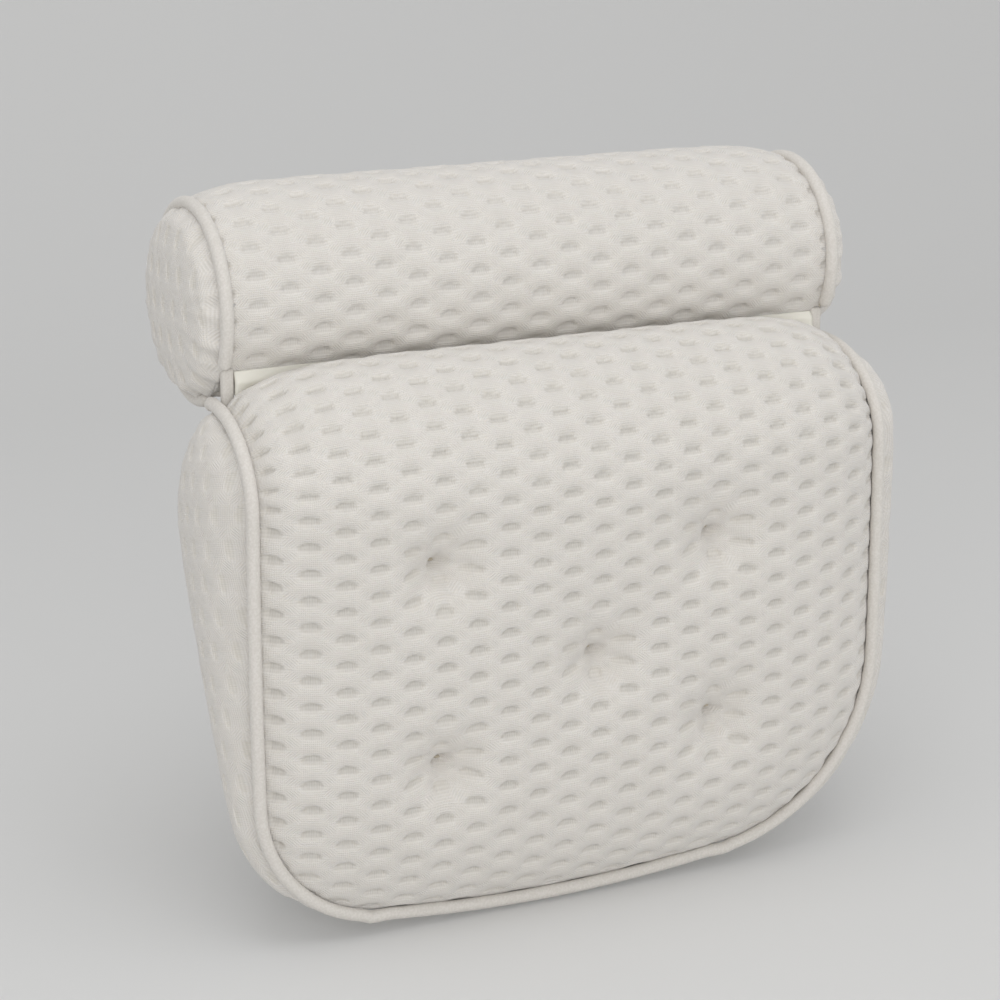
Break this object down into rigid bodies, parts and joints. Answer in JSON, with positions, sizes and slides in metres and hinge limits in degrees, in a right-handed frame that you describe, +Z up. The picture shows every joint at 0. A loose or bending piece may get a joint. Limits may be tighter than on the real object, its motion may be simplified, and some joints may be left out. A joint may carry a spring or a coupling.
{
  "type": "bath pillow",
  "caption": "Stuffed mesh bath pillow: a tufted wedge pad for the back, a cloth-hinged neck roll above it, piped seams and suction cups behind.",
  "frame": {"origin": "on the tub wall's plane, midway between the lips of the suction cups on the pad's back", "axes": "+X to the viewer's right along the neck roll, +Y from the bather towards the tub wall, +Z up"},
  "size_m": [0.379, 0.1828, 0.3604],
  "materials": {
    "air_mesh": "ivory knitted spacer mesh with staggered dimples",
    "piping": "brushed plain cloth over cord",
    "fibre_fill": "loose polyester fibre",
    "thread": "twisted thread",
    "eyelet": "moulded",
    "clear_vinyl": "clear soft vinyl"
  },
  "bodies": {
    "pad": {"pad_front_panel": "air_mesh", "pad_back_panel": "air_mesh", "pad_left_gusset": "air_mesh", "pad_right_gusset": "air_mesh", "pad_piping": "piping", "pad_filling": "fibre_fill", "tuft_tie_1": "thread", "tuft_tie_2": "thread", "tuft_tie_3": "thread", "tuft_tie_4": "thread", "tuft_tie_5": "thread", "hinge_web": "air_mesh", "hinge_binding_left": "piping", "hinge_binding_right": "piping", "eyelet_pad_lower_left": "eyelet", "eyelet_pad_lower_right": "eyelet", "eyelet_pad_upper_left": "eyelet", "eyelet_pad_upper_right": "eyelet"},
    "neck_roll": {"roll_cover": "air_mesh", "roll_left_cap": "air_mesh", "roll_right_cap": "air_mesh", "roll_left_piping": "piping", "roll_right_piping": "piping", "roll_filling": "fibre_fill", "eyelet_roll_left": "eyelet", "eyelet_roll_right": "eyelet"},
    "cup_pad_lower_left": {"suction_cup_pad_lower_left": "clear_vinyl"},
    "cup_pad_lower_right": {"suction_cup_pad_lower_right": "clear_vinyl"},
    "cup_pad_upper_left": {"suction_cup_pad_upper_left": "clear_vinyl"},
    "cup_pad_upper_right": {"suction_cup_pad_upper_right": "clear_vinyl"},
    "cup_roll_left": {"suction_cup_roll_left": "clear_vinyl"},
    "cup_roll_right": {"suction_cup_roll_right": "clear_vinyl"}
  },
  "joints": [
    {"name": "neck_roll_hinge", "type": "hinge", "parent": "pad", "child": "neck_roll", "pos_m": [0, -0.0177, 0.16778], "axis": [1, 0, 0], "range_deg": [-10, 20], "deforming": ["hinge_web", "hinge_binding_left", "hinge_binding_right"]},
    {"name": "cup_pad_lower_left_spin", "type": "hinge", "parent": "pad", "child": "cup_pad_lower_left", "pos_m": [-0.118, -0.0316, -0.0344], "axis": [0, 0.9135, -0.4067], "continuous": true},
    {"name": "cup_pad_lower_right_spin", "type": "hinge", "parent": "pad", "child": "cup_pad_lower_right", "pos_m": [0.118, -0.0316, -0.03437], "axis": [0, 0.9135, -0.4067], "continuous": true},
    {"name": "cup_pad_upper_left_spin", "type": "hinge", "parent": "pad", "child": "cup_pad_upper_left", "pos_m": [-0.118, 0.00419, 0.0463], "axis": [0, 0.9135, -0.4067], "continuous": true},
    {"name": "cup_pad_upper_right_spin", "type": "hinge", "parent": "pad", "child": "cup_pad_upper_right", "pos_m": [0.118, 0.00419, 0.0463], "axis": [0, 0.9135, -0.4067], "continuous": true},
    {"name": "cup_roll_left_spin", "type": "hinge", "parent": "neck_roll", "child": "cup_roll_left", "pos_m": [-0.1, 0.06564, 0.1843], "axis": [0, 0.9135, -0.4067], "continuous": true},
    {"name": "cup_roll_right_spin", "type": "hinge", "parent": "neck_roll", "child": "cup_roll_right", "pos_m": [0.1, 0.06564, 0.1843], "axis": [0, 0.9135, -0.4067], "continuous": true}
  ]
}
